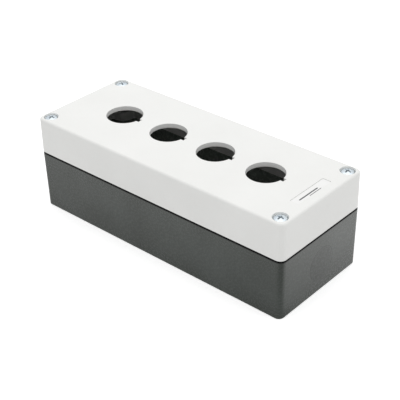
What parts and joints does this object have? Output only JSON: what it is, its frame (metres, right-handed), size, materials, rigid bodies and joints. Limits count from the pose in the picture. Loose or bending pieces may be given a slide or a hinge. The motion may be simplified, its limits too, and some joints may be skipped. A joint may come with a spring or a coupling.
{
  "type": "pushbutton station enclosure",
  "caption": "Long surface-mounting enclosure for pushbuttons: deep dark base, pale gasketed lid with keyed round holes in a row, captive corner screws and a marking field at one end.",
  "frame": {"origin": "centre of the base's back face, which lies on the wall or the bench", "axes": "+X along the long side towards the marking field, +Y across it, +Z out through the lid"},
  "size_m": [0.186, 0.072, 0.061],
  "materials": {
    "base_plastic": "satin moulded, dark grey",
    "lid_plastic": "satin moulded, pale grey",
    "seal_rubber": "matt",
    "label_plastic": "satin, with plain ruled lines",
    "zinc_steel": "bright zinc plated",
    "nylon": "matt natural",
    "brass": "turned"
  },
  "bodies": {
    "base": {"base": "base_plastic", "threaded_insert_1": "brass", "threaded_insert_2": "brass", "threaded_insert_3": "brass", "threaded_insert_4": "brass"},
    "lid": {"lid": "lid_plastic", "gasket": "seal_rubber", "label": "label_plastic", "head_washer_1": "zinc_steel", "head_washer_2": "zinc_steel", "head_washer_3": "zinc_steel", "head_washer_4": "zinc_steel"},
    "retaining_washer_1": {"retaining_washer_1": "nylon"},
    "retaining_washer_2": {"retaining_washer_2": "nylon"},
    "retaining_washer_3": {"retaining_washer_3": "nylon"},
    "retaining_washer_4": {"retaining_washer_4": "nylon"},
    "lid_screw_1": {"lid_screw_1": "zinc_steel"},
    "lid_screw_2": {"lid_screw_2": "zinc_steel"},
    "lid_screw_3": {"lid_screw_3": "zinc_steel"},
    "lid_screw_4": {"lid_screw_4": "zinc_steel"}
  },
  "joints": [
    {"name": "lid_lift", "type": "slide", "parent": "base", "child": "lid", "axis": [0, 0, 1], "range_m": [0, 0.05]},
    {"name": "screw_1_rise", "type": "slide", "parent": "lid", "child": "retaining_washer_1", "axis": [0, 0, 1], "range_m": [0, 0.00595]},
    {"name": "screw_1_turn", "type": "hinge", "parent": "retaining_washer_1", "child": "lid_screw_1", "pos_m": [-0.0869, -0.0299, 0.038], "axis": [0, 0, 1], "range_deg": [0, 3060]},
    {"name": "screw_2_rise", "type": "slide", "parent": "lid", "child": "retaining_washer_2", "axis": [0, 0, 1], "range_m": [0, 0.00595]},
    {"name": "screw_2_turn", "type": "hinge", "parent": "retaining_washer_2", "child": "lid_screw_2", "pos_m": [0.0869, -0.0299, 0.038], "axis": [0, 0, 1], "range_deg": [0, 3060]},
    {"name": "screw_3_rise", "type": "slide", "parent": "lid", "child": "retaining_washer_3", "axis": [0, 0, 1], "range_m": [0, 0.00595]},
    {"name": "screw_3_turn", "type": "hinge", "parent": "retaining_washer_3", "child": "lid_screw_3", "pos_m": [0.0869, 0.0299, 0.038], "axis": [0, 0, 1], "range_deg": [0, 3060]},
    {"name": "screw_4_rise", "type": "slide", "parent": "lid", "child": "retaining_washer_4", "axis": [0, 0, 1], "range_m": [0, 0.00595]},
    {"name": "screw_4_turn", "type": "hinge", "parent": "retaining_washer_4", "child": "lid_screw_4", "pos_m": [-0.0869, 0.0299, 0.038], "axis": [0, 0, 1], "range_deg": [0, 3060]}
  ],
  "couplings": [
    {"joint": "screw_1_turn", "follows": "screw_1_rise", "rad_per_m": 8976},
    {"joint": "screw_2_turn", "follows": "screw_2_rise", "rad_per_m": 8976},
    {"joint": "screw_3_turn", "follows": "screw_3_rise", "rad_per_m": 8976},
    {"joint": "screw_4_turn", "follows": "screw_4_rise", "rad_per_m": 8976}
  ]
}
